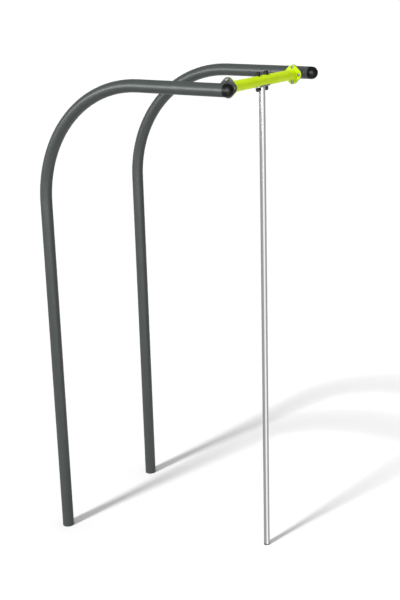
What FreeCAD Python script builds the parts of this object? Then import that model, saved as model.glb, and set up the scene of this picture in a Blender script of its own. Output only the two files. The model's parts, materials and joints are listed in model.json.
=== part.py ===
import FreeCAD, Part
import math
import os

import Sketcher
from FreeCAD import Placement, Rotation, Vector

# Climbing pole for an outdoor gym: two bent posts carry a bolted crossbar, and a steel pole hangs
# from the crossbar's middle down to the ground. X runs along the crossbar, the arms reach towards -Y,
# and the origin is on the ground under the middle of the whole frame.

# Driving dimensions, in millimetres
SIZES = {
    # Bent posts
    "post_diameter": 76.1,
    "post_wall": 3,
    "post_spacing": 957,
    "arm_height": 3038,
    "bend_radius": 767,
    "reach": 1314,
    "arm_overhang": 54,
    # Domed caps in the arms' ends
    "cap_rim": 14,
    "cap_wall": 3,
    "cap_seam": 1,
    "cap_stem": 36,
    "cap_fit": 0.3,
    "fin_depth": 1.5,
    "fin_width": 3,
    "fin_pitch": 9,
    # Crossbar and its bolted flanges
    "crossbar_diameter": 63.5,
    "crossbar_wall": 3,
    "joint_offset": 115,
    "flange_side": 102,
    "flange_corner": 32,
    "flange_thickness": 8,
    "flange_edge": 1,
    "flange_vent": 40,
    "bolt_circle": 90,
    # M10 fasteners
    "bolt_diameter": 10,
    "bolt_play": 1,
    "thread_play": 0.1,
    "washer_diameter": 20,
    "washer_thickness": 2,
    "button_diameter": 17.5,
    "button_height": 5.5,
    "button_edge": 1.2,
    "socket_flats": 6,
    "socket_depth": 3,
    "bolt_chamfer": 1,
    "hex_flats": 16,
    "hex_chamfer": 0.4,
    "hex_head_height": 6.4,
    "hex_nut_height": 8.4,
    "dome_nut_height": 8,
    "dome_step": 0.5,
    "thread_past_nut": 3,
    # Climbing pole and its saddle
    "pole_diameter": 38.1,
    "pole_wall": 2.6,
    "saddle_thickness": 5,
    "saddle_length": 132,
    "saddle_width": 46,
    "saddle_corner": 14,
    "saddle_edge": 1,
    "pole_bolt_spacing": 90,
    "sleeve_wall": 3,
    # Two-part covers over the pole's bolts
    "cover_diameter": 27,
    "cover_height": 22,
    "cover_wall": 1.8,
    "cover_crown": 2.5,
    "cover_round": 6,
    "seat_height": 5,
    "snap_height": 2.5,
    "snap_wall": 0.8,
    "snap_fit": 0.15,
}

FIN_COUNT = 3
FLANGE_BOLTS = 4

# The tangent of the 30 degrees that a hexagon's ends are turned to
HEX_SLOPE = "(1 / sqrt(3))"

# Two places this near to each other count as one
CLOSE = 1e-6

doc = FreeCAD.newDocument("climbing_pole")
sheet = doc.addObject("Spreadsheet::Sheet", "sizes")
for row, (alias, size) in enumerate(SIZES.items(), start=1):
    sheet.set(f"A{row}", alias)
    sheet.set(f"B{row}", str(size))
    sheet.setAlias(f"B{row}", alias)
doc.recompute()

# Sizes that follow from the driving dimensions
POST_RADIUS = "(sizes.post_diameter / 2)"
POST_BORE = "(sizes.post_diameter - 2 * sizes.post_wall)"
LEG_HEIGHT = "(sizes.arm_height - sizes.bend_radius)"
POST_Y = "((sizes.reach + sizes.arm_overhang + sizes.cap_rim) / 2)"
POLE_Y = f"({POST_Y} - sizes.reach)"
CROSSBAR_RADIUS = "(sizes.crossbar_diameter / 2)"
CROSSBAR_BORE = "(sizes.crossbar_diameter - 2 * sizes.crossbar_wall)"
SADDLE_RADIUS = f"({CROSSBAR_RADIUS} + sizes.saddle_thickness)"
BOLT_HOLE = "(sizes.bolt_diameter + sizes.bolt_play)"
HEX_FACE = "(sizes.hex_flats / 2 - sizes.hex_chamfer)"
NUT_BORE = "(sizes.bolt_diameter + sizes.thread_play)"
FLANGE_BOLT_OUT = "(sizes.bolt_circle / 2)"
FLANGE_GRIP = "(sizes.flange_thickness + sizes.washer_thickness)"
POLE_BOLT_OUT = "(sizes.pole_bolt_spacing / 2)"
SEAT_GRIP = "(sizes.seat_height + sizes.washer_thickness)"
COVER_RADIUS = "(sizes.cover_diameter / 2)"


# Drawing helpers
def measure(expression):
    """The present value of an expression of sizes."""
    return float(sheet.evalExpression(expression))


def bind(sketch, constraint, expression):
    """Add a constraint whose value follows an expression."""
    index = sketch.addConstraint(constraint)
    sketch.setExpression(f"Constraints[{index}]", expression)


def set_point(sketch, geometry, point, x, y):
    """Tie a point of a sketch to its two coordinates."""
    for kind, axis, place in (("DistanceX", -2, x), ("DistanceY", -1, y)):
        if place == "0":
            sketch.addConstraint(Sketcher.Constraint("PointOnObject", geometry, point, axis))
        else:
            away = Sketcher.Constraint(kind, -1, 1, geometry, point, measure(place))
            bind(sketch, away, place)


def origin_of(body, role):
    """One of a body's own axes or planes."""
    return next(item for item in body.Origin.OriginFeatures if item.Role == role)


def start_body(name, x="0", y="0", z="0", turn=Rotation()):
    """A new sub-part, placed by expressions."""
    body = doc.addObject("PartDesign::Body", name)
    body.Label = name
    body.Placement = Placement(Vector(), turn)
    for axis, place in zip("xyz", (x, y, z)):
        body.setExpression(f"Placement.Base.{axis}", place)
    return body


def draw(body, name, plane="XY_Plane", lift="0"):
    """A sketch on one of a body's planes, lifted along the plane's normal."""
    sketch = body.newObject("Sketcher::SketchObject", name)
    sketch.AttachmentSupport = [(origin_of(body, plane), "")]
    sketch.MapMode = "FlatFace"
    sketch.setExpression("AttachmentOffset.Base.z", lift)
    return sketch


def add_circle(sketch, diameter, x="0", y="0"):
    """A circle in a sketch."""
    centre = Vector(measure(x), measure(y), 0)
    circle = Part.Circle(centre, Vector(0, 0, 1), measure(diameter) / 2)
    index = sketch.addGeometry(circle, False)
    set_point(sketch, index, 3, x, y)
    bind(sketch, Sketcher.Constraint("Diameter", index, measure(diameter)), diameter)


def add_ring(sketch, outer, inner, x="0", y="0"):
    """Two circles about one centre."""
    add_circle(sketch, outer, x, y)
    add_circle(sketch, inner, x, y)


def add_axis(sketch, start, end):
    """A construction line for a revolution to turn about."""
    ends = [Vector(measure(x), measure(y), 0) for x, y in (start, end)]
    index = sketch.addGeometry(Part.LineSegment(*ends), True)
    set_point(sketch, index, 1, *start)
    set_point(sketch, index, 2, *end)


def add_outline(sketch, corners, arcs=None):
    """A closed outline. arcs gives the centre, radius and turn (1 left, -1 right) of its round sides."""
    arcs = arcs or {}
    points = [Vector(measure(x), measure(y), 0) for x, y in corners]
    sides = []
    for number, start in enumerate(points):
        end = points[(number + 1) % len(points)]
        if number in arcs:
            (centre_x, centre_y), radius, turn = arcs[number]
            centre = Vector(measure(centre_x), measure(centre_y), 0)
            first, last = (start, end) if turn > 0 else (end, start)
            angles = [math.atan2(p.y - centre.y, p.x - centre.x) for p in (first, last)]
            circle = Part.Circle(centre, Vector(0, 0, 1), measure(radius))
            index = sketch.addGeometry(Part.ArcOfCircle(circle, *angles), False)
            bind(sketch, Sketcher.Constraint("Radius", index, measure(radius)), radius)
            sides.append((index, 1, 2) if turn > 0 else (index, 2, 1))
        else:
            sides.append((sketch.addGeometry(Part.LineSegment(start, end), False), 1, 2))
    for number, (index, head, tail) in enumerate(sides):
        following, next_head, _ = sides[(number + 1) % len(sides)]
        sketch.addConstraint(Sketcher.Constraint("Coincident", index, tail, following, next_head))
        set_point(sketch, index, head, *corners[number])


def add_hexagon(sketch, flats, x="0", y="0"):
    """A hexagon across its flats, with two of its corners along X."""
    corner, half = f"{flats} / sqrt(3)", f"{flats} / 2"
    steps = [(1, 0), (0.5, 1), (-0.5, 1), (-1, 0), (-0.5, -1), (0.5, -1)]
    corners = [(f"{x} + {along} * {corner}", f"{y} + {across} * {half}") for along, across in steps]
    add_outline(sketch, [(place_x, place_y if across or y != "0" else "0")
                         for (place_x, place_y), (_, across) in zip(corners, steps)])


def pad(body, sketch, length, symmetric=False):
    """Thicken a sketch along its normal, or half of the length to each side."""
    feature = body.newObject("PartDesign::Pad", f"{sketch.Name}_pad")
    feature.Profile = sketch
    feature.SideType = "Symmetric" if symmetric else "One side"
    feature.setExpression("Length", length)
    doc.recompute()
    return feature


def cut_through(body, sketch):
    """Cut a sketch through the whole body, to both sides of its plane."""
    feature = body.newObject("PartDesign::Pocket", f"{sketch.Name}_cut")
    feature.Profile = sketch
    feature.SideType = "Symmetric"
    feature.Type = "ThroughAll"
    doc.recompute()
    return feature


def sink(body, sketch, depth):
    """Cut a sketch to a depth, against its normal."""
    feature = body.newObject("PartDesign::Pocket", f"{sketch.Name}_cut")
    feature.Profile = sketch
    feature.setExpression("Length", depth)
    doc.recompute()
    return feature


def revolve(body, sketch, axis="V_Axis", angle=360):
    """Turn a sketch about one of its own lines."""
    feature = body.newObject("PartDesign::Revolution", f"{sketch.Name}_turned")
    feature.Profile = sketch
    feature.ReferenceAxis = (sketch, [axis])
    feature.Angle = angle
    doc.recompute()
    return feature


def groove(body, sketch, axis):
    """Cut a sketch away all round one of its own lines."""
    feature = body.newObject("PartDesign::Groove", f"{sketch.Name}_groove")
    feature.Profile = sketch
    feature.ReferenceAxis = (sketch, [axis])
    feature.Angle = 360
    doc.recompute()
    return feature


def is_upright(edge):
    """Whether an edge is straight and runs along Z."""
    return isinstance(edge.Curve, Part.Line) and abs(edge.tangentAt(edge.FirstParameter).z) > 1 - CLOSE


def is_rim(edge, outlines):
    """Whether an edge is one of the given outlines'."""
    return any(edge.isSame(side) for outline in outlines for side in outline.Edges)


def is_around_x(edge, radius):
    """Whether an edge lies on the round face of a radius about X."""
    first, last = edge.ParameterRange
    points = [edge.valueAt(place) for place in (first, (first + last) / 2, last)]
    return all(abs(math.hypot(point.y, point.z) - radius) < CLOSE for point in points)


def round_edges(body, feature, radius, chosen):
    """Round the edges of a feature that a test chooses."""
    names = [f"Edge{number}" for number, edge in enumerate(feature.Shape.Edges, start=1) if chosen(edge)]
    fillet = body.newObject("PartDesign::Fillet", f"{feature.Name}_rounded")
    fillet.Base = (feature, names)
    fillet.setExpression("Radius", radius)
    doc.recompute()
    return fillet


def bevel_hexagon(body, name, plane, out, face, looks):
    """Turn a hexagon's corners off to a cone round its end face, which looks along Z or against it."""
    beyond = "sizes.hex_flats"
    drop = f"({beyond} - {HEX_FACE}) * {HEX_SLOPE}"
    cone = draw(body, name, plane)
    add_axis(cone, (out, "0"), (out, face))
    add_outline(
        cone,
        [
            (f"{out} + {HEX_FACE}", face),
            (f"{out} + {beyond}", face),
            (f"{out} + {beyond}", f"{face} - {looks} * {drop}"),
        ],
    )
    return groove(body, cone, "Axis0")


def repeat_round(body, count, features=()):
    """Repeat features, or the whole body, evenly about Z."""
    pattern = body.newObject("PartDesign::PolarPattern", f"{body.Name}_round")
    pattern.Originals = list(features)
    pattern.TransformMode = "Features" if features else "Whole shape"
    pattern.Axis = (origin_of(body, "Z_Axis"), [""])
    pattern.Angle = 360
    pattern.Occurrences = count
    body.Tip = pattern
    doc.recompute()


def repeat_mirrored(body, features=()):
    """Mirror features, or the whole body, from +X to -X."""
    mirror = body.newObject("PartDesign::Mirrored", f"{body.Name}_mirrored")
    mirror.Originals = list(features)
    mirror.TransformMode = "Features" if features else "Whole shape"
    mirror.MirrorPlane = (origin_of(body, "YZ_Plane"), [""])
    body.Tip = mirror
    doc.recompute()


# Bent posts: one tube with an upright leg, a quarter bend and a level arm
def make_post(name, x):
    body = start_body(name, x=x, y=POST_Y)
    leg = draw(body, "leg_section")
    add_ring(leg, "sizes.post_diameter", POST_BORE)
    pad(body, leg, LEG_HEIGHT)

    bend = draw(body, "bend_section", lift=LEG_HEIGHT)
    add_ring(bend, "sizes.post_diameter", POST_BORE)
    add_axis(bend, (f"-{POST_RADIUS}", "-sizes.bend_radius"), (POST_RADIUS, "-sizes.bend_radius"))
    revolve(body, bend, "Axis0", 90)

    arm = draw(body, "arm_section", "XZ_Plane", lift="sizes.bend_radius")
    add_ring(arm, "sizes.post_diameter", POST_BORE, y="sizes.arm_height")
    pad(body, arm, "sizes.reach - sizes.bend_radius + sizes.arm_overhang")
    return body


# Domed caps: a hollow dome on a short rim, with a finned stem that grips the tube's bore
def make_cap(name, x):
    body = start_body(name, x, f"{POLE_Y} - sizes.arm_overhang", "sizes.arm_height",
                      Rotation(Vector(1, 0, 0), 90))
    grip = f"({POST_BORE} / 2 - sizes.cap_fit)"
    stem = f"({grip} - sizes.fin_depth)"
    inside = f"({stem} - sizes.cap_wall)"
    shell = draw(body, "shell", "XZ_Plane")
    add_outline(
        shell,
        [
            ("0", f"sizes.cap_rim + {POST_RADIUS}"),
            (POST_RADIUS, "sizes.cap_rim"),
            (POST_RADIUS, "sizes.cap_seam"),
            (f"{POST_RADIUS} - sizes.cap_seam", "0"),
            (stem, "0"),
            (stem, "-sizes.cap_stem"),
            (inside, "-sizes.cap_stem"),
            (inside, "sizes.cap_rim"),
            ("0", f"sizes.cap_rim + {inside}"),
        ],
        {
            0: (("0", "sizes.cap_rim"), POST_RADIUS, -1),
            7: (("0", "sizes.cap_rim"), inside, 1),
        },
    )
    revolve(body, shell)

    root = f"{stem} - sizes.cap_wall / 2"
    fin = draw(body, "fin", "XZ_Plane")
    add_outline(
        fin,
        [
            (root, "-sizes.fin_pitch"),
            (grip, "-sizes.fin_pitch"),
            (grip, "-sizes.fin_pitch - sizes.fin_width / 2"),
            (root, "-sizes.fin_pitch - sizes.fin_width"),
        ],
    )
    ridge = revolve(body, fin)
    fins = body.newObject("PartDesign::LinearPattern", "fins")
    fins.Originals = [ridge]
    fins.Direction = (origin_of(body, "Z_Axis"), [""])
    fins.Reversed = True
    fins.setExpression("Length", f"{FIN_COUNT - 1} * sizes.fin_pitch")
    fins.Occurrences = FIN_COUNT
    body.Tip = fins
    doc.recompute()
    return body


# Flange joints: their own Z runs from the arm to the crossbar's middle, with zero where the plates meet
def start_joint_body(name, side):
    place = "(sizes.post_spacing / 2 - sizes.joint_offset)"
    turn = Rotation(Vector(0, 1, 0), -90 * side)
    return start_body(name, f"{side} * {place}", POLE_Y, "sizes.arm_height", turn)


def make_stub(name, side):
    """A short tube from the arm to its flange, coped to the arm's round side."""
    body = start_joint_body(name, side)
    section = draw(body, "section", lift="-sizes.joint_offset")
    add_ring(section, "sizes.crossbar_diameter", CROSSBAR_BORE)
    pad(body, section, "sizes.joint_offset - sizes.flange_thickness")
    cope = draw(body, "cope", "XZ_Plane")
    add_circle(cope, "sizes.post_diameter", y="-sizes.joint_offset")
    cut_through(body, cope)
    return body


def make_flange(name, side, lift):
    """A square plate with round corners, set on its corner, with a bolt hole at each corner."""
    body = start_joint_body(name, side)
    corner = "sizes.flange_side / sqrt(2)"
    outline = draw(body, "outline", lift=lift)
    add_outline(outline, [("0", corner), (f"-{corner}", "0"), ("0", f"-{corner}"), (corner, "0")])
    add_circle(outline, "sizes.flange_vent")
    plate = pad(body, outline, "sizes.flange_thickness")
    plate = round_edges(body, plate, "sizes.flange_corner", is_upright)
    sides = [face.OuterWire for face in plate.Shape.Faces if abs(face.normalAt(0, 0).z) > 1 - CLOSE]
    round_edges(body, plate, "sizes.flange_edge", lambda edge: is_rim(edge, sides))
    hole = draw(body, "bolt_hole", lift=lift)
    add_circle(hole, BOLT_HOLE, y=FLANGE_BOLT_OUT)
    repeat_round(body, FLANGE_BOLTS, [cut_through(body, hole)])
    return body


def make_flange_bolts(name, side):
    """Button-head screws, with their heads on the crossbar's flange."""
    body = start_joint_body(name, side)
    shank = f"({FLANGE_BOLT_OUT} + sizes.bolt_diameter / 2)"
    edge = f"({FLANGE_BOLT_OUT} + sizes.button_diameter / 2)"
    tip = f"(-{FLANGE_GRIP} - sizes.dome_nut_height)"
    crown = f"({FLANGE_GRIP} + sizes.button_height)"
    rise = "(sizes.button_height - sizes.button_edge)"
    crown_radius = f"((sizes.button_diameter ^ 2 / 4 + {rise} ^ 2) / (2 * {rise}))"
    profile = draw(body, "screw", "YZ_Plane")
    add_axis(profile, (FLANGE_BOLT_OUT, tip), (FLANGE_BOLT_OUT, crown))
    add_outline(
        profile,
        [
            (FLANGE_BOLT_OUT, tip),
            (f"{shank} - sizes.bolt_chamfer", tip),
            (shank, f"{tip} + sizes.bolt_chamfer"),
            (shank, FLANGE_GRIP),
            (edge, FLANGE_GRIP),
            (edge, f"{FLANGE_GRIP} + sizes.button_edge"),
            (FLANGE_BOLT_OUT, crown),
        ],
        {5: ((FLANGE_BOLT_OUT, f"{crown} - {crown_radius}"), crown_radius, 1)},
    )
    revolve(body, profile, "Axis0")
    socket = draw(body, "socket", lift=crown)
    add_hexagon(socket, "sizes.socket_flats", y=FLANGE_BOLT_OUT)
    sink(body, socket, "sizes.socket_depth")
    repeat_round(body, FLANGE_BOLTS)
    return body


def make_flange_nuts(name, side):
    """Dome nuts on the stub's side of the joint."""
    body = start_joint_body(name, side)
    base = f"(-{FLANGE_GRIP} - sizes.dome_nut_height)"
    dome_radius = "(sizes.hex_flats / 2 - sizes.dome_step)"
    hexagon = draw(body, "hexagon", lift=base)
    add_hexagon(hexagon, "sizes.hex_flats", y=FLANGE_BOLT_OUT)
    pad(body, hexagon, "sizes.dome_nut_height")
    dome = draw(body, "dome", "YZ_Plane")
    add_axis(dome, (FLANGE_BOLT_OUT, f"{base} - {dome_radius}"), (FLANGE_BOLT_OUT, base))
    add_outline(
        dome,
        [
            (FLANGE_BOLT_OUT, f"{base} - {dome_radius}"),
            (f"{FLANGE_BOLT_OUT} + {dome_radius}", base),
            (FLANGE_BOLT_OUT, base),
        ],
        {0: ((FLANGE_BOLT_OUT, base), dome_radius, 1)},
    )
    revolve(body, dome, "Axis0")
    bevel_hexagon(body, "dome_bevel", "YZ_Plane", FLANGE_BOLT_OUT, base, -1)
    bevel_hexagon(body, "seat_bevel", "YZ_Plane", FLANGE_BOLT_OUT, f"-{FLANGE_GRIP}", 1)
    bore = draw(body, "bore", lift=f"-{FLANGE_GRIP}")
    add_circle(bore, NUT_BORE, y=FLANGE_BOLT_OUT)
    sink(body, bore, "sizes.dome_nut_height + sizes.bolt_chamfer")
    repeat_round(body, FLANGE_BOLTS)
    return body


def make_flange_washers(name, side):
    """Washers under the heads and under the nuts."""
    body = start_joint_body(name, side)
    for label, lift in (("head_washer", "sizes.flange_thickness"), ("nut_washer", f"-{FLANGE_GRIP}")):
        ring = draw(body, label, lift=lift)
        add_ring(ring, "sizes.washer_diameter", BOLT_HOLE, y=FLANGE_BOLT_OUT)
        pad(body, ring, "sizes.washer_thickness")
    repeat_round(body, FLANGE_BOLTS)
    return body


# Crossbar and pole: the bodies around the crossbar's middle have their origin on its axis
def start_middle_body(name, lift="0", turn=Rotation()):
    return start_body(name, "0", POLE_Y, f"sizes.arm_height + {lift}", turn)


def make_crossbar(name):
    """The tube between the flanges, with two upright bolt holes beside the pole."""
    body = start_middle_body(name)
    section = draw(body, "section", "YZ_Plane")
    add_ring(section, "sizes.crossbar_diameter", CROSSBAR_BORE)
    pad(body, section, "sizes.post_spacing - 2 * (sizes.joint_offset + sizes.flange_thickness)", True)
    hole = draw(body, "bolt_hole")
    add_circle(hole, BOLT_HOLE, x=POLE_BOLT_OUT)
    repeat_mirrored(body, [cut_through(body, hole)])
    return body


def make_pole(name):
    """The climbing tube, from the ground up to the saddle's round underside."""
    body = start_body(name, y=POLE_Y)
    section = draw(body, "section")
    add_ring(section, "sizes.pole_diameter", "sizes.pole_diameter - 2 * sizes.pole_wall")
    pad(body, section, "sizes.arm_height")
    cope = draw(body, "cope", "YZ_Plane")
    add_circle(cope, f"2 * {SADDLE_RADIUS}", y="sizes.arm_height")
    cut_through(body, cope)
    return body


def make_saddle(name):
    """A plate rolled to the crossbar's underside, which the pole is welded to."""
    body = start_middle_body(name)
    end, edge = "(sizes.saddle_length / 2)", "(sizes.saddle_width / 2)"
    outline = draw(body, "outline", lift=f"-{SADDLE_RADIUS}")
    add_outline(outline, [(end, edge), (f"-{end}", edge), (f"-{end}", f"-{edge}"), (end, f"-{edge}")])
    blank = pad(body, outline, SADDLE_RADIUS)
    round_edges(body, blank, "sizes.saddle_corner", is_upright)
    outside = draw(body, "outside", "YZ_Plane")
    add_ring(outside, f"4 * {SADDLE_RADIUS}", f"2 * {SADDLE_RADIUS}")
    cut_through(body, outside)
    inside = draw(body, "inside", "YZ_Plane")
    add_circle(inside, "sizes.crossbar_diameter")
    rolled = cut_through(body, inside)
    outer = measure(SADDLE_RADIUS)
    round_edges(body, rolled, "sizes.saddle_edge", lambda edge: is_around_x(edge, outer))
    hole = draw(body, "bolt_hole")
    add_circle(hole, BOLT_HOLE, x=POLE_BOLT_OUT)
    repeat_mirrored(body, [cut_through(body, hole)])
    return body


def make_pole_bolts(name):
    """Hexagon bolts down through the crossbar and the saddle."""
    body = start_middle_body(name)
    under_head = f"({CROSSBAR_RADIUS} + {SEAT_GRIP})"
    tip = f"({SADDLE_RADIUS} + {SEAT_GRIP} + sizes.hex_nut_height + sizes.thread_past_nut)"
    shank = draw(body, "shank", lift=f"-{tip}")
    add_circle(shank, "sizes.bolt_diameter", x=POLE_BOLT_OUT)
    pad(body, shank, f"{tip} + {under_head}")
    head = draw(body, "head", lift=under_head)
    add_hexagon(head, "sizes.hex_flats", x=POLE_BOLT_OUT)
    pad(body, head, "sizes.hex_head_height")
    crown = f"({under_head} + sizes.hex_head_height)"
    bevel_hexagon(body, "head_bevel", "XZ_Plane", POLE_BOLT_OUT, crown, 1)
    repeat_mirrored(body)
    return body


def make_pole_nuts(name):
    """The nuts of the pole's bolts, under the saddle."""
    body = start_middle_body(name)
    upper = f"-({SADDLE_RADIUS} + {SEAT_GRIP})"
    lower = f"({upper} - sizes.hex_nut_height)"
    hexagon = draw(body, "hexagon", lift=lower)
    add_hexagon(hexagon, "sizes.hex_flats", x=POLE_BOLT_OUT)
    add_circle(hexagon, NUT_BORE, x=POLE_BOLT_OUT)
    pad(body, hexagon, "sizes.hex_nut_height")
    bevel_hexagon(body, "upper_bevel", "XZ_Plane", POLE_BOLT_OUT, upper, 1)
    bevel_hexagon(body, "lower_bevel", "XZ_Plane", POLE_BOLT_OUT, lower, -1)
    repeat_mirrored(body)
    return body


def make_pole_washers(name):
    """Washers between the seats and the heads and nuts of the pole's bolts."""
    body = start_middle_body(name)
    upper = f"{CROSSBAR_RADIUS} + sizes.seat_height"
    lower = f"-({SADDLE_RADIUS} + {SEAT_GRIP})"
    for label, lift in (("head_washer", upper), ("nut_washer", lower)):
        ring = draw(body, label, lift=lift)
        add_ring(ring, "sizes.washer_diameter", BOLT_HOLE, x=POLE_BOLT_OUT)
        pad(body, ring, "sizes.washer_thickness")
    repeat_mirrored(body)
    return body


def make_sleeves(name):
    """Crush sleeves round the pole's bolts, with their ends shaped to the crossbar's bore."""
    body = start_middle_body(name)
    ring = draw(body, "ring")
    add_ring(ring, f"{BOLT_HOLE} + 2 * sizes.sleeve_wall", BOLT_HOLE, x=POLE_BOLT_OUT)
    pad(body, ring, "sizes.crossbar_diameter", True)
    trim = draw(body, "trim", "YZ_Plane")
    add_ring(trim, "2 * sizes.crossbar_diameter", CROSSBAR_BORE)
    cut_through(body, trim)
    repeat_mirrored(body)
    return body


# Covers of the pole's bolts: their own Z points away from the tube, with zero on its crown
UPSIDE_DOWN = Rotation(Vector(1, 0, 0), 180)
UPPER_FACE = (CROSSBAR_RADIUS, CROSSBAR_RADIUS, Rotation())
LOWER_FACE = (SADDLE_RADIUS, f"-{SADDLE_RADIUS}", UPSIDE_DOWN)


def make_seats(name, face):
    """Bases of the covers, hollowed to sit on the round face, with a ring that the lids snap over."""
    radius, lift, turn = face
    body = start_middle_body(name, lift, turn)
    disc = draw(body, "disc", lift=f"-{radius}")
    add_ring(disc, "sizes.cover_diameter", BOLT_HOLE, x=POLE_BOLT_OUT)
    pad(body, disc, f"{radius} + sizes.seat_height")
    snap = "(sizes.cover_diameter - 2 * sizes.cover_wall - 2 * sizes.snap_fit)"
    ring = draw(body, "snap_ring", lift="sizes.seat_height")
    add_ring(ring, snap, f"{snap} - 2 * sizes.snap_wall", x=POLE_BOLT_OUT)
    pad(body, ring, "sizes.snap_height")
    hollow = draw(body, "hollow", "YZ_Plane")
    add_circle(hollow, f"2 * {radius}", y=f"-{radius}")
    cut_through(body, hollow)
    repeat_mirrored(body)
    return body


def make_covers(name, face):
    """Snap-on lids with a rounded crown, hollow over the head or the nut."""
    _, lift, turn = face
    body = start_middle_body(name, lift, turn)
    outside = f"({POLE_BOLT_OUT} + {COVER_RADIUS})"
    inside = f"({outside} - sizes.cover_wall)"
    shoulder = "(sizes.cover_height - sizes.cover_round)"
    ceiling = "(sizes.cover_height - sizes.cover_crown)"
    profile = draw(body, "lid", "XZ_Plane")
    add_axis(profile, (POLE_BOLT_OUT, "0"), (POLE_BOLT_OUT, "sizes.cover_height"))
    add_outline(
        profile,
        [
            (inside, "sizes.seat_height"),
            (outside, "sizes.seat_height"),
            (outside, shoulder),
            (f"{outside} - sizes.cover_round", "sizes.cover_height"),
            (POLE_BOLT_OUT, "sizes.cover_height"),
            (POLE_BOLT_OUT, ceiling),
            (f"{outside} - sizes.cover_round", ceiling),
            (inside, shoulder),
        ],
        {2: ((f"{outside} - sizes.cover_round", shoulder), "sizes.cover_round", 1)},
    )
    revolve(body, profile, "Axis0")
    repeat_mirrored(body)
    return body


# The whole frame
sub_parts = []
for side_name, side in (("left", -1), ("right", 1)):
    post_x = f"{side} * sizes.post_spacing / 2"
    sub_parts += [
        make_post(f"{side_name}_post", post_x),
        make_cap(f"{side_name}_end_cap", post_x),
        make_stub(f"{side_name}_arm_stub", side),
        make_flange(f"{side_name}_arm_flange", side, "-sizes.flange_thickness"),
        make_flange(f"{side_name}_crossbar_flange", side, "0"),
        make_flange_bolts(f"{side_name}_flange_screws", side),
        make_flange_nuts(f"{side_name}_flange_dome_nuts", side),
        make_flange_washers(f"{side_name}_flange_washers", side),
    ]
sub_parts += [
    make_crossbar("crossbar"),
    make_pole("climbing_pole"),
    make_saddle("pole_saddle"),
    make_pole_bolts("pole_bolts"),
    make_pole_nuts("pole_nuts"),
    make_pole_washers("pole_washers"),
    make_sleeves("crush_sleeves"),
    make_seats("upper_cover_seats", UPPER_FACE),
    make_covers("upper_bolt_covers", UPPER_FACE),
    make_seats("lower_cover_seats", LOWER_FACE),
    make_covers("lower_bolt_covers", LOWER_FACE),
]
doc.recompute()

# Every feature must have built before anything is written
for item in doc.Objects:
    if "Invalid" in item.State or "Error" in item.State:
        raise RuntimeError(f"{item.Label} failed: {item.State}")
for part in sub_parts:
    if part.Shape.isNull() or not part.Shape.isValid():
        raise RuntimeError(f"{part.Label} has no valid shape")

os.makedirs("parts", exist_ok=True)
for part in sub_parts:
    part.Shape.exportStep(f"parts/{part.Label}.step")
    box = part.Shape.BoundBox
    print(f"{part.Label}: {len(part.Shape.Solids)} solids, {part.Shape.Volume / 1000:.1f} cm3, "
          f"x {box.XMin:.1f} to {box.XMax:.1f}, y {box.YMin:.1f} to {box.YMax:.1f}, "
          f"z {box.ZMin:.1f} to {box.ZMax:.1f}")
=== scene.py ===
# %% [markdown]
# # A climbing pole for an outdoor gym
# Two bent tube posts reach forward and hold a lime green crossbar between their arms. A steel pole
# runs from the crossbar's middle down to the ground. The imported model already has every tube, plate
# and bolt at its real size, so this lesson adds what the eye needs: a camera, finishes, weld beads
# and a studio. All lengths are in metres.

# %% Load the fixed frame
import json
import math
from collections import namedtuple

import bmesh
import bpy
from mathutils import Matrix, Vector


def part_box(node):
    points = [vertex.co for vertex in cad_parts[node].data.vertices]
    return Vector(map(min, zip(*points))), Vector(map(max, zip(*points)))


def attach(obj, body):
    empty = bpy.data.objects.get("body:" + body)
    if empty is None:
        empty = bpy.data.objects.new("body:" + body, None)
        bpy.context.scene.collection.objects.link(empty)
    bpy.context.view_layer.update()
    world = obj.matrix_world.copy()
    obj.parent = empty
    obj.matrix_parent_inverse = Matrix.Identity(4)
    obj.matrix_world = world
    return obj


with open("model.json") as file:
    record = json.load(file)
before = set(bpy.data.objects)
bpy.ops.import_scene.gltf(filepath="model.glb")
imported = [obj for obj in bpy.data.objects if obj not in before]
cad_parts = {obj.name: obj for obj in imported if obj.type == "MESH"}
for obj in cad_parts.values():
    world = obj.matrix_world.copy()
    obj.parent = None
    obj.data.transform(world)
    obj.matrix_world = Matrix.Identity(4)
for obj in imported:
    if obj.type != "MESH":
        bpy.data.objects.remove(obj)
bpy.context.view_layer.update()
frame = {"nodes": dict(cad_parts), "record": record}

print("nodes:", len(frame["nodes"]))

# %% [markdown]
# ## The camera
# The photograph looks down a little, from the front left, with a long lens. The six values come from
# matching the edges of the posts, the arms and the pole in the picture, and only the lens is given in
# millimetres. A tracking constraint could aim the camera, but it would hold it upright, and this one
# leans slightly. So the camera is built from its own three axes.

# %% Place the camera
CAMERA_TURN = math.radians(-55.41)
CAMERA_RISE = math.radians(17.27)
CAMERA_LEAN = math.radians(-1.628)
CAMERA_DISTANCE = 7.88
CAMERA_AIM = Vector((0.4982, 0.2039, 1.4354))
CAMERA_LENS = 67.47


def camera_axes():
    """The camera's right, up and backward directions."""
    flat = math.cos(CAMERA_RISE)
    back = Vector((math.sin(CAMERA_TURN) * flat, -math.cos(CAMERA_TURN) * flat, math.sin(CAMERA_RISE)))
    right = Vector((math.cos(CAMERA_TURN), math.sin(CAMERA_TURN), 0))
    lean = Matrix.Rotation(CAMERA_LEAN, 3, back)
    return lean @ right, lean @ back.cross(right), back


def place_camera():
    """A camera at the photograph's angle."""
    right, up, back = camera_axes()
    camera = bpy.data.objects.new("camera", bpy.data.cameras.new("camera"))
    camera.data.lens = CAMERA_LENS
    turn = Matrix((right, up, back)).transposed().to_4x4()
    camera.matrix_world = Matrix.Translation(CAMERA_AIM + back * CAMERA_DISTANCE) @ turn
    bpy.context.scene.collection.objects.link(camera)
    bpy.context.scene.camera = camera
    return camera


camera = place_camera()
print("camera stands at", [round(place, 3) for place in camera.matrix_world.translation])

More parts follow.
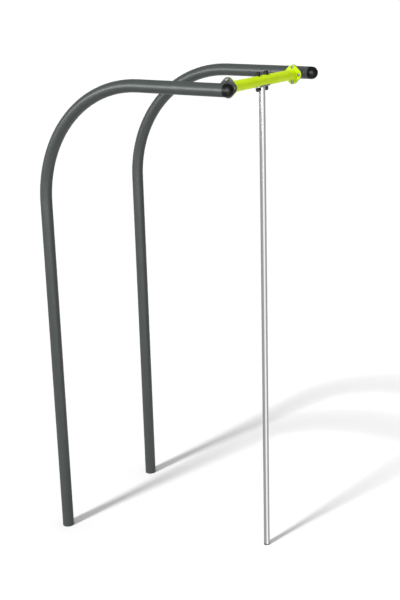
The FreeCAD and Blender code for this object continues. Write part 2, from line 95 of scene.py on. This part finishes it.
# %% [markdown]
# ## Noise on object coordinates
# Every finish here is a Principled shader whose colour, roughness and relief come from noise. A picture
# could be wrapped round the pieces, but it would need unwrapping and show seams. With object coordinates
# there is nothing to unwrap. They are in metres on every piece, so one number of waves to the metre
# gives the same grain on a long post and on a small bolt.

# %% A new material and its noise
def start_material(name):
    """A material with its shader and an object coordinate source."""
    material = bpy.data.materials.new(name)
    material.use_nodes = True
    tree = material.node_tree
    place = tree.nodes.new("ShaderNodeTexCoord").outputs["Object"]
    return material, tree, tree.nodes["Principled BSDF"], place


def noise(tree, place, waves, detail=2):
    """Smooth noise with so many waves to the metre."""
    node = tree.nodes.new("ShaderNodeTexNoise")
    node.inputs["Scale"].default_value = waves
    node.inputs["Detail"].default_value = detail
    tree.links.new(place, node.inputs["Vector"])
    return node.outputs["Fac"]


print("helpers for a new material and its noise are ready")

# %% [markdown]
# ## Colour, roughness and relief
# Noise gives values round one half and hardly ever reaches 0 or 1. The three helpers turn it into what
# a finish needs. The first two take the range that noise really fills and spread a colour's shades or
# a roughness over it. The third reads it as height, which tilts the surface under the light.

# %% Noise as colour, roughness and relief
NOISE_LOW = 0.3
NOISE_HIGH = 0.7


def tint(tree, value, colour, shades):
    """A colour that noise takes from a darker to a lighter shade."""
    node = tree.nodes.new("ShaderNodeValToRGB")
    for stop, position, shade in zip(node.color_ramp.elements, (NOISE_LOW, NOISE_HIGH), shades):
        stop.position = position
        stop.color = (*(channel * shade for channel in colour), 1)
    tree.links.new(value, node.inputs["Fac"])
    return node.outputs["Color"]


def vary(tree, value, level, spread):
    """A roughness that noise takes up and down by a spread."""
    node = tree.nodes.new("ShaderNodeMapRange")
    node.inputs["From Min"].default_value = NOISE_LOW
    node.inputs["From Max"].default_value = NOISE_HIGH
    node.inputs["To Min"].default_value = level - spread
    node.inputs["To Max"].default_value = level + spread
    tree.links.new(value, node.inputs["Value"])
    return node.outputs["Result"]


def bump(tree, shader, height, depth):
    """Relief of a given depth."""
    node = tree.nodes.new("ShaderNodeBump")
    node.inputs["Distance"].default_value = depth
    tree.links.new(height, node.inputs["Height"])
    tree.links.new(node.outputs["Normal"], shader.inputs["Normal"])


print("noise is spread from", NOISE_LOW, "to", NOISE_HIGH)

# %% [markdown]
# ## Powder coat
# The posts and the crossbar are powder coated: the paint is blown on dry and melted in an oven.
# It flows into a skin with a faint orange peel, about two millimetres from wave to wave. Modelled, the
# peel would take millions of faces, so relief in the material draws it. The colour is even, and the
# cloudy noise changes it by only a few percent.

# %% Grey and lime powder coat
GREY = (0.051, 0.060, 0.057)
GREY_ROUGHNESS = 0.36
GREY_GLOSS = 0.5
LIME = (0.55, 0.75, 0.002)
LIME_ROUGHNESS = 0.30
LIME_GLOSS = 0.15
COAT_CLOUD_WAVES = 9
COAT_CLOUD_DETAIL = 4
COAT_SHADES = (0.95, 1.05)
HAZE_WAVES = 40
HAZE_SPREAD = 0.03
PEEL_WAVES = 450
PEEL_DETAIL = 1
PEEL_DEPTH = 0.00002


def powder_coat(name, colour, roughness, gloss):
    """An oven-cured coat with a faint orange peel."""
    material, tree, shader, place = start_material(name)
    cloud = noise(tree, place, COAT_CLOUD_WAVES, COAT_CLOUD_DETAIL)
    haze = noise(tree, place, HAZE_WAVES)
    peel = noise(tree, place, PEEL_WAVES, PEEL_DETAIL)
    tree.links.new(tint(tree, cloud, colour, COAT_SHADES), shader.inputs["Base Color"])
    tree.links.new(vary(tree, haze, roughness, HAZE_SPREAD), shader.inputs["Roughness"])
    shader.inputs["Specular IOR Level"].default_value = gloss
    bump(tree, shader, peel, PEEL_DEPTH)
    return material


grey_coat = powder_coat("grey_coat", GREY, GREY_ROUGHNESS, GREY_GLOSS)
lime_coat = powder_coat("lime_coat", LIME, LIME_ROUGHNESS, LIME_GLOSS)
print("coats:", grey_coat.name, lime_coat.name)

# %% [markdown]
# ## Black plastic
# The caps and the bolt covers are moulded. The mould is spark eroded, which leaves an even grain on a
# satin black, about half a millimetre from wave to wave. Plain black would look like a hole in the
# picture, so the grain breaks up its highlights, and a soft cloud varies its colour and its gloss.

# %% Moulded black plastic
BLACK = (0.003, 0.003, 0.0033)
PLASTIC_ROUGHNESS = 0.40
PLASTIC_SPREAD = 0.04
PLASTIC_GLOSS = 0.28
PLASTIC_CLOUD_WAVES = 60
PLASTIC_CLOUD_DETAIL = 3
PLASTIC_SHADES = (0.85, 1.2)
MOULD_WAVES = 1800
MOULD_DETAIL = 1
MOULD_DEPTH = 0.00002


def moulded_plastic(name):
    """Black plastic from a finely grained mould."""
    material, tree, shader, place = start_material(name)
    cloud = noise(tree, place, PLASTIC_CLOUD_WAVES, PLASTIC_CLOUD_DETAIL)
    grain = noise(tree, place, MOULD_WAVES, MOULD_DETAIL)
    tree.links.new(tint(tree, cloud, BLACK, PLASTIC_SHADES), shader.inputs["Base Color"])
    tree.links.new(vary(tree, cloud, PLASTIC_ROUGHNESS, PLASTIC_SPREAD), shader.inputs["Roughness"])
    shader.inputs["Specular IOR Level"].default_value = PLASTIC_GLOSS
    bump(tree, shader, grain, MOULD_DEPTH)
    return material


black_plastic = moulded_plastic("black_plastic")
print("plastic:", black_plastic.name)

# %% [markdown]
# ## Drawn and rolled steel
# The pole is a drawn tube, polished along its length, so its fine lines run upright. The saddle under
# the crossbar is a duller rolled plate, and its lines follow the crossbar. Its darker colour is partly
# that duller steel and partly painted shade from the crossbar above. An anisotropic shader could smear
# the highlights in the same way without any lines. Noise that is stretched along one axis draws the
# lines themselves, so they also show close up.

# %% Steel of the pole and the saddle
BRIGHT_STEEL = (0.86, 0.865, 0.87)
POLE_ROUGHNESS = 0.15
# the saddle's darker colour is partly duller steel and partly painted shade from the crossbar above
SHADED_DULL_STEEL = (0.50, 0.505, 0.51)
SADDLE_ROUGHNESS = 0.38
LINE_WAVES = 1400
LINE_DETAIL = 3
LINE_STRETCH = 0.012
LINES_UPRIGHT = (1, 1, LINE_STRETCH)
LINES_SIDEWAYS = (LINE_STRETCH, 1, 1)
LINE_SHADES = (0.93, 1)
LINE_SPREAD = 0.05
LINE_DEPTH = 0.000004


def stretched(tree, place, scale):
    """Object coordinates drawn out along the axis with the small scale."""
    mapping = tree.nodes.new("ShaderNodeMapping")
    mapping.inputs["Scale"].default_value = scale
    tree.links.new(place, mapping.inputs["Vector"])
    return mapping.outputs["Vector"]


def lined_steel(name, colour, roughness, scale):
    """Steel with fine lines along one axis."""
    material, tree, shader, place = start_material(name)
    lines = noise(tree, stretched(tree, place, scale), LINE_WAVES, LINE_DETAIL)
    tree.links.new(tint(tree, lines, colour, LINE_SHADES), shader.inputs["Base Color"])
    tree.links.new(vary(tree, lines, roughness, LINE_SPREAD), shader.inputs["Roughness"])
    shader.inputs["Metallic"].default_value = 1
    bump(tree, shader, lines, LINE_DEPTH)
    return material


pole_steel = lined_steel("pole_steel", BRIGHT_STEEL, POLE_ROUGHNESS, LINES_UPRIGHT)
shaded_saddle_steel = lined_steel("shaded_saddle_steel", SHADED_DULL_STEEL, SADDLE_ROUGHNESS, LINES_SIDEWAYS)
print("lined steels:", pole_steel.name, shaded_saddle_steel.name)

# %% [markdown]
# ## Steel of the fasteners
# The screws, nuts and washers are stainless too, but they look duller than the pole. They could share
# the saddle's steel, and its lines would then run the same way on every screw, however it is turned.
# So they get an even grain in colour and roughness, and no relief.

# %% Dull fastener steel
FASTENER_STEEL = (0.31, 0.315, 0.32)
FASTENER_SHADES = (0.9, 1.06)
FASTENER_ROUGHNESS = 0.56
FASTENER_SPREAD = 0.06
FASTENER_WAVES = 700
FASTENER_DETAIL = 3


def grained_steel(name):
    """Plain stainless steel of bolts, nuts and washers."""
    material, tree, shader, place = start_material(name)
    grain = noise(tree, place, FASTENER_WAVES, FASTENER_DETAIL)
    tree.links.new(tint(tree, grain, FASTENER_STEEL, FASTENER_SHADES), shader.inputs["Base Color"])
    tree.links.new(vary(tree, grain, FASTENER_ROUGHNESS, FASTENER_SPREAD), shader.inputs["Roughness"])
    shader.inputs["Metallic"].default_value = 1
    return material


fastener_steel = grained_steel("fastener_steel")
print("grained steel:", fastener_steel.name)

# %% [markdown]
# ## Dressing the frame
# Each node of the frame has a material slot with a name. Nodes could be dressed one by one, but the
# record already lists which slot belongs to which node. So the finishes are dealt out from that list,
# and no node is forgotten.

# %% Give every node its finish
finish_of = {
    "grey_coat": grey_coat,
    "lime_coat": lime_coat,
    "black_plastic": black_plastic,
    "bright_steel": pole_steel,
    "dull_steel": shaded_saddle_steel,
    "fastener_steel": fastener_steel,
}


def dress(node, material):
    """Put one material on all of a node's slots."""
    for holder in frame["nodes"][node].material_slots:
        holder.material = material


for part in frame["record"]["subparts"]:
    dress(part["node"], finish_of[part["material_slot"]])

# %% [markdown]
# ## Measuring the tubes
# The weld beads have to follow the tubes. Their sizes could be typed in again, but then the beads would
# stay behind when the model changes. Each node's box gives its size and place instead.

# %% Sizes read from the nodes
def middle(node):
    """The centre of a node's box."""
    low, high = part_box(node)
    return (low + high) / 2


def span(node):
    """The lengths of a node's box."""
    low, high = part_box(node)
    return high - low


crossbar_centre = middle("crossbar")
arm_radius = span("left_end_cap").x / 2
stub_radius = span("left_arm_stub").z / 2
crossbar_radius = span("crossbar").z / 2
saddle_radius = crossbar_centre.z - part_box("pole_saddle")[0].z
pole_radius = span("climbing_pole").x / 2
print("crossbar centre:", [round(place, 4) for place in crossbar_centre])
print(f"radius of an arm {arm_radius:.5f}, of a stub {stub_radius:.5f}")
print(f"radius of the crossbar {crossbar_radius:.5f}, of the pole {pole_radius:.5f}")

# %% [markdown]
# ## The section of a weld bead
# The stubs are welded to the arms, the flanges to their tubes and the pole to its saddle. A bead fills
# the corner between two pieces, so a texture alone can't stand for it. It starts as a flat wedge on one
# side of the tube: a root hidden in the metal, and a face that swells a little between its two legs.
# The face's edges sink slightly, so no gap shows along the seam.
#
# A seam starts at a point on the tube's axis and goes along the tube, away from the piece that carries
# it. One leg lies on that piece, the other on the tube. On a round piece, such as an arm, the base
# radius is that piece's own and across is square to both axes. On a flat plate the base radius is 0.

# %% Draw the wedge
Seam = namedtuple("Seam", "start along across radius legs base_radius")
FACE_POINTS = 7
FACE_SWELL = 0.0006
EDGE_SINK = 0.0002
ROOT_DEPTH = 0.0006


def draw_section(shape, seam):
    """The wedge's outline: a root inside the metal and a convex face."""
    base_leg, tube_leg = seam.legs
    spots = [(seam.radius - ROOT_DEPTH, -ROOT_DEPTH)]
    for point in range(FACE_POINTS):
        share = point / (FACE_POINTS - 1)
        swell = FACE_SWELL * math.sin(math.pi * share) - EDGE_SINK
        spots.append((seam.radius + base_leg * (1 - share) + swell, tube_leg * share + swell))
    corners = [shape.verts.new(seam.start + seam.across * out + seam.along * up) for out, up in spots]
    outline = [shape.edges.new(ends) for ends in zip(corners, corners[1:] + corners[:1])]
    return corners + outline


print("a wedge has", FACE_POINTS + 1, "corners")

# %% [markdown]
# ## The ripples
# Weld metal sets drop by drop and leaves small overlapping waves. A bump texture could draw them, but it
# doesn't know which way the bead runs. So the points of the face itself are moved, in and out by turns
# along the bead, most in the face's middle and not at all at its edges. A wave bends like an arch,
# because the edges of a drop set before its middle.

# %% Ripple a bead's face
RIPPLE_HEIGHT = 0.0003
RIPPLE_CURVE = 1.6


def ripple_face(shape, seam, waves):
    """Raise and lower the bead's face in curved waves, and leave its edges alone."""
    base_leg, tube_leg = seam.legs
    aside = seam.along.cross(seam.across)
    for vert in shape.verts:
        reach = vert.co - seam.start
        up = reach.dot(seam.along)
        outward = (reach - seam.along * up).normalized()
        out = reach.dot(outward) - seam.radius
        if up > 0 and out > 0:
            share = up / tube_leg / (up / tube_leg + out / base_leg)
            turn = math.atan2(outward.dot(aside), outward.dot(seam.across))
            wave = math.cos(waves * turn + RIPPLE_CURVE * (2 * share - 1) ** 2)
            # four times share times the rest is 1 in the middle and 0 at the edges
            rise = RIPPLE_HEIGHT * wave * 4 * share * (1 - share)
            vert.co += (outward + seam.along).normalized() * rise


print("ripples up to", RIPPLE_HEIGHT, "high")

# %% [markdown]
# ## Spinning a bead
# A torus could be squeezed into the corner, but its round section would bulge. Spinning the wedge once
# round the tube keeps the section, with enough steps to carry the ripples, and merging the doubles
# closes the ring. On a round piece every point then slides along the tube by the depth of the curve at
# its place. At the end all faces are turned outwards.

# %% Spin a bead round its tube
RIPPLE_LENGTH = 0.003
RIPPLE_STEPS = 6
MERGE_DISTANCE = 0.000002


def lay_bead(shape, seam):
    """Spin the wedge round the tube, and slide it onto a round base if there is one."""
    section = draw_section(shape, seam)
    waves = round(math.tau * seam.radius / RIPPLE_LENGTH)
    bmesh.ops.spin(shape, geom=section, cent=seam.start, axis=seam.along, angle=math.tau,
                   steps=waves * RIPPLE_STEPS, use_merge=True)
    bmesh.ops.remove_doubles(shape, verts=shape.verts, dist=MERGE_DISTANCE)
    ripple_face(shape, seam, waves)
    if seam.base_radius:
        for vert in shape.verts:
            side = (vert.co - seam.start).dot(seam.across)
            vert.co += seam.along * math.sqrt(seam.base_radius ** 2 - side ** 2)
    bmesh.ops.recalc_face_normals(shape, faces=shape.faces)
    for face in shape.faces:
        face.smooth = True


print("a ripple is", RIPPLE_LENGTH, "long and has", RIPPLE_STEPS, "steps")

# %% [markdown]
# ## From mesh to piece
# A bmesh is only a workbench: its result has to go into a mesh, and the mesh into an object. The helper
# for that also serves the studio. A bead is then shaded smooth except at its steep edges, gets the
# finish of its slot and rides on the frame, as a real bead is part of it.

# %% Make a bead a piece of the object
SHARP_ANGLE = math.radians(50)


def link(name, mesh_maker, *sizes):
    """A new object whose mesh is made with a bmesh function."""
    mesh = bpy.data.meshes.new(name)
    shape = bmesh.new()
    mesh_maker(shape, *sizes)
    shape.to_mesh(mesh)
    shape.free()
    piece = bpy.data.objects.new(name, mesh)
    bpy.context.scene.collection.objects.link(piece)
    return piece


def weld(name, slot, seam):
    """A bead as a piece that rides on the frame."""
    bead = link(name, lay_bead, seam)
    bead.data.set_sharp_from_angle(angle=SHARP_ANGLE)
    bead.data.materials.append(finish_of[slot])
    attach(bead, "root")
    print(name, len(bead.data.polygons), "faces")


print("edges over", round(math.degrees(SHARP_ANGLE)), "degrees stay sharp")

# %% [markdown]
# ## Welding the joints
# Each side has three seams: the stub on the round arm, the stub on its flange, and the crossbar on its
# own flange. The pole has one, under the curved saddle. The coated beads were painted with their pieces,
# so they take the same coat, and the pole's bead takes the saddle's dull steel with its painted shade.

# %% Beads of the stubs, the flanges and the pole
STUB_LEGS = (0.0035, 0.0045)
PLATE_LEGS = (0.003, 0.0045)
POLE_LEGS = (0.004, 0.005)
FLAT = 0
UPWARD = Vector((0, 0, 1))
BACKWARD = Vector((0, 1, 0))
INWARD = {"left": Vector((1, 0, 0)), "right": Vector((-1, 0, 0))}


def weld_side(hand, inward):
    """The three beads between an arm and the crossbar."""
    arm_axis = Vector((middle(f"{hand}_end_cap").x, crossbar_centre.y, crossbar_centre.z))
    stub_end = middle(f"{hand}_arm_flange") - inward * span(f"{hand}_arm_flange").x / 2
    bar_end = middle(f"{hand}_crossbar_flange") + inward * span(f"{hand}_crossbar_flange").x / 2
    on_arm = Seam(arm_axis, inward, UPWARD, stub_radius, STUB_LEGS, arm_radius)
    on_stub = Seam(stub_end, -inward, UPWARD, stub_radius, PLATE_LEGS, FLAT)
    on_bar = Seam(bar_end, inward, UPWARD, crossbar_radius, PLATE_LEGS, FLAT)
    weld(f"{hand}_stub_weld", "grey_coat", on_arm)
    weld(f"{hand}_arm_flange_weld", "grey_coat", on_stub)
    weld(f"{hand}_bar_flange_weld", "lime_coat", on_bar)


for hand, inward in INWARD.items():
    weld_side(hand, inward)
under_saddle = Seam(crossbar_centre, -UPWARD, BACKWARD, pole_radius, POLE_LEGS, saddle_radius)
# the pole's bead shares the saddle's steel, painted shade included
weld("pole_weld", "dull_steel", under_saddle)

# %% [markdown]
# ## The floor
# The photograph has a white studio floor without a visible end. A bent backdrop could hide the end, but
# a disc that is far wider than the view does it too. It is matt, so it mirrors nothing. Its colour
# stays below full white: the lights bring it there, and the shadows stay on it.

# %% Floor
FLOOR_RADIUS = 150.0
FLOOR_SIDES = 96
FLOOR_WHITE = (0.80, 0.80, 0.80)
FLOOR_CLOUD_WAVES = 0.5
FLOOR_SHADES = (0.995, 1)


def floor_finish():
    """Matt white studio floor."""
    material, tree, shader, place = start_material("studio_floor")
    cloud = noise(tree, place, FLOOR_CLOUD_WAVES)
    tree.links.new(tint(tree, cloud, FLOOR_WHITE, FLOOR_SHADES), shader.inputs["Base Color"])
    shader.inputs["Roughness"].default_value = 1
    shader.inputs["Specular IOR Level"].default_value = 0
    return material


def lay_floor(shape):
    """A flat disc under the whole studio."""
    bmesh.ops.create_circle(shape, cap_ends=True, radius=FLOOR_RADIUS, segments=FLOOR_SIDES)


floor = link("floor", lay_floor)
floor.data.materials.append(floor_finish())
print("floor radius:", FLOOR_RADIUS)

# %% [markdown]
# ## The key light
# One lamp throws the long shadows. Their direction and length give its angle, and how fast they soften
# gives its size. The shadows of a near lamp would fan out. A sun lamp keeps them parallel, as they are
# in the picture. Reflections don't see it, because the panels further down make the highlights.

# %% Hang the key light
KEY_TURN = math.radians(-9.4)
KEY_RISE = math.radians(48.4)
KEY_SIZE = math.radians(6.0)
KEY_STRENGTH = 2.92


def hang_key():
    """A sun lamp whose light travels down along the shadows."""
    lamp = bpy.data.lights.new("key", "SUN")
    lamp.energy = KEY_STRENGTH
    lamp.angle = KEY_SIZE
    flat = math.cos(KEY_RISE)
    travel = Vector((math.cos(KEY_TURN) * flat, math.sin(KEY_TURN) * flat, -math.sin(KEY_RISE)))
    key = bpy.data.objects.new("key", lamp)
    key.rotation_mode = "QUATERNION"
    key.rotation_quaternion = travel.to_track_quat("-Z", "Y")
    key.visible_glossy = False
    bpy.context.scene.collection.objects.link(key)


hang_key()
print(f"key light {math.degrees(KEY_RISE):.1f} degrees high")

# %% [markdown]
# ## The fill
# In the shadows the floor is still light grey, so light comes from all sides too. Large area lamps could
# give it, but the world does it evenly and without further shadows. What the camera, reflections and
# glass would see of the world itself stays at full white.

# %% Fill from the world
FILL_STRENGTH = 0.6
SEEN_STRENGTH = 1


def fill_world():
    """An even fill, which the camera and the reflections see as white."""
    world = bpy.data.worlds.new("studio")
    world.use_nodes = True
    # the fill is the same from all sides, so it isn't searched for bright places
    world.cycles.sampling_method = "NONE"
    tree = world.node_tree
    rays = tree.nodes.new("ShaderNodeLightPath")
    seen = rays.outputs["Is Camera Ray"]
    for kind in ("Is Glossy Ray", "Is Transmission Ray"):
        either = tree.nodes.new("ShaderNodeMath")
        either.operation = "MAXIMUM"
        tree.links.new(seen, either.inputs[0])
        tree.links.new(rays.outputs[kind], either.inputs[1])
        seen = either.outputs["Value"]
    strength = tree.nodes.new("ShaderNodeMapRange")
    strength.inputs["To Min"].default_value = FILL_STRENGTH
    strength.inputs["To Max"].default_value = SEEN_STRENGTH
    tree.links.new(seen, strength.inputs["Value"])
    background = tree.nodes["Background"]
    background.inputs["Color"].default_value = (1, 1, 1, 1)
    tree.links.new(strength.outputs["Result"], background.inputs["Strength"])
    bpy.context.scene.world = world


fill_world()
bpy.context.scene.view_settings.view_transform = "Standard"
print("fill strength:", FILL_STRENGTH)

# %% [markdown]
# ## What the steel mirrors
# A polished tube in an all-white room turns white and loses its edges. Photographers put grey cards
# and light panels round it, and the picture shows them: the pole has one bright stripe between two
# dark ones, the arms a long streak and the caps a soft spot. The next cells build such a studio. Only
# reflections see its pieces, so they change no shadow and never stand in the view.

# %% Surfaces for reflections alone
def glow(name, strength):
    """A surface that shines evenly."""
    material = bpy.data.materials.new(name)
    material.use_nodes = True
    tree = material.node_tree
    tree.nodes.remove(tree.nodes["Principled BSDF"])
    light = tree.nodes.new("ShaderNodeEmission")
    light.inputs["Strength"].default_value = strength
    tree.links.new(light.outputs["Emission"], tree.nodes["Material Output"].inputs["Surface"])
    return material


def mirror_only(piece, material):
    """A piece of the studio that only reflections see."""
    piece.data.materials.append(material)
    for way in ("camera", "diffuse", "transmission", "volume_scatter", "shadow"):
        setattr(piece, f"visible_{way}", False)
    print(piece.name, "is seen in reflections alone")


print("the studio's surfaces glow, and only reflections see them")

# %% [markdown]
# ## The tent
# A grey tent gives the steel its middle tone and keeps the white world out of the reflections. A grey
# world would do that as well, but it would also darken the background. Half a sphere is enough, because
# the ground closes it from below.

# %% Tent
TENT_RADIUS = 40.0
TENT_GREY = 0.22
ROUND_SIDES = 64


def pitch_tent(shape):
    """A half dome over the whole studio."""
    bmesh.ops.create_uvsphere(shape, u_segments=ROUND_SIDES, v_segments=ROUND_SIDES // 2,
                              radius=TENT_RADIUS)
    geometry = shape.verts[:] + shape.edges[:] + shape.faces[:]
    bmesh.ops.bisect_plane(shape, geom=geometry, plane_co=(0, 0, 0), plane_no=UPWARD, clear_inner=True)


mirror_only(link("tent", pitch_tent), glow("tent_grey", TENT_GREY))

# %% [markdown]
# ## The ground in the reflections
# The camera looks down, so the upright pole mirrors mostly ground. Its bright stripe is a wedge of white
# ground that spreads from its foot towards the camera, and its pale edges mirror a weaker wedge behind.
# Cut sheets could lie there, but their edges would be hard. So a radial gradient turns round the foot
# like a compass, and stops on its ramp fade the wedges in and out.

# %% Two pale wedges on grey
GROUND_WHITE = 1.1
GROUND_GREY = 0.35
FULL_TURN = 360
# the gradient's first value lies at minus X, half a turn from the compass's zero
GRADIENT_START = 180
# each stop is a direction in degrees and a share of white
FRONT_WEDGE = ((191, 0), (213, 1), (252, 1), (272, 0))
BACK_WEDGE = ((352, 0), (372, 0.45), (416, 0.45), (436, 0))

pole_foot = Vector((crossbar_centre.x, crossbar_centre.y, 0))


def ground_glow():
    """A grey ground with two white wedges that fade at their sides."""
    material = glow("ground_grey", GROUND_WHITE)
    tree = material.node_tree
    place = tree.nodes.new("ShaderNodeTexCoord").outputs["Object"]
    centred = tree.nodes.new("ShaderNodeMapping")
    centred.inputs["Location"].default_value = -pole_foot
    compass = tree.nodes.new("ShaderNodeTexGradient")
    compass.gradient_type = "RADIAL"
    fade = tree.nodes.new("ShaderNodeValToRGB")
    fade.color_ramp.interpolation = "EASE"
    stops = fade.color_ramp.elements
    for stop in stops:
        stop.color = (GROUND_GREY, GROUND_GREY, GROUND_GREY, 1)
    for turn, share in FRONT_WEDGE + BACK_WEDGE:
        white = GROUND_GREY + (1 - GROUND_GREY) * share
        stops.new((turn - GRADIENT_START) % FULL_TURN / FULL_TURN).color = (white, white, white, 1)
    tree.links.new(place, centred.inputs["Vector"])
    tree.links.new(centred.outputs["Vector"], compass.inputs["Vector"])
    tree.links.new(compass.outputs["Fac"], fade.inputs["Fac"])
    tree.links.new(fade.outputs["Color"], tree.nodes["Emission"].inputs["Color"])
    return material


print("wedges spread from", [round(place, 3) for place in pole_foot])

# %% Spread the ground
GROUND_LIFT = 0.001


def spread_ground(shape):
    """A ground sheet just above the floor."""
    bmesh.ops.create_circle(shape, cap_ends=True, radius=TENT_RADIUS, segments=ROUND_SIDES)
    bmesh.ops.translate(shape, vec=UPWARD * GROUND_LIFT, verts=shape.verts)


mirror_only(link("ground_sheet", spread_ground), ground_glow())

# %% [markdown]
# ## The pole's contact with the ground
# Where the pole meets the floor, it mirrors its own narrow contact shadow. The ground sheet lies above
# the floor and holds no shadows, so a small dark disc round the foot stands for that one.

# %% Painted contact shadow at the pole's foot
CONTACT_REACH = 0.012
CONTACT_LIFT = 0.002
CONTACT_SHADOW_GREY = 0.05


def paint_contact_shadow(shape):
    """A painted contact shadow: the dark ring on the ground where the pole stands."""
    radius = pole_radius + CONTACT_REACH
    bmesh.ops.create_circle(shape, cap_ends=True, radius=radius, segments=ROUND_SIDES)
    bmesh.ops.translate(shape, vec=pole_foot + UPWARD * CONTACT_LIFT, verts=shape.verts)


# the dark disc is painted shade, seen only in the pole's reflection
mirror_only(link("contact_shadow_ring", paint_contact_shadow), glow("contact_shadow_grey", CONTACT_SHADOW_GREY))

# %% [markdown]
# ## The light panels
# A long panel on the left draws the streak on the arms. A tall one in front gives the caps their soft
# spots. Area lamps could do both, but they would throw shadows of their own. The front panel stands
# between the camera and the object, and the camera looks straight through it.

# %% Two panels
Panel = namedtuple("Panel", "turn length bottom top light")
PANEL_DISTANCE = 6.0
LEFT_PANEL = Panel(math.radians(157), 6.4, 2.75, 5.0, 7.8)
FRONT_PANEL = Panel(math.radians(209), 5.5, 2.4, 7.4, 7.5)


def stand_panel(shape, panel):
    """An upright panel that faces the frame."""
    away = Vector((math.cos(panel.turn), math.sin(panel.turn), 0))
    along = away.cross(UPWARD) * panel.length / 2
    foot = away * PANEL_DISTANCE + UPWARD * panel.bottom
    ends = [shape.verts.new(foot - along), shape.verts.new(foot + along)]
    edge = shape.edges.new(ends)
    raised = bmesh.ops.extrude_edge_only(shape, edges=[edge])["geom"]
    upper = [item for item in raised if isinstance(item, bmesh.types.BMVert)]
    bmesh.ops.translate(shape, vec=UPWARD * (panel.top - panel.bottom), verts=upper)


mirror_only(link("left_panel", stand_panel, LEFT_PANEL), glow("left_light", LEFT_PANEL.light))
mirror_only(link("front_panel", stand_panel, FRONT_PANEL), glow("front_light", FRONT_PANEL.light))
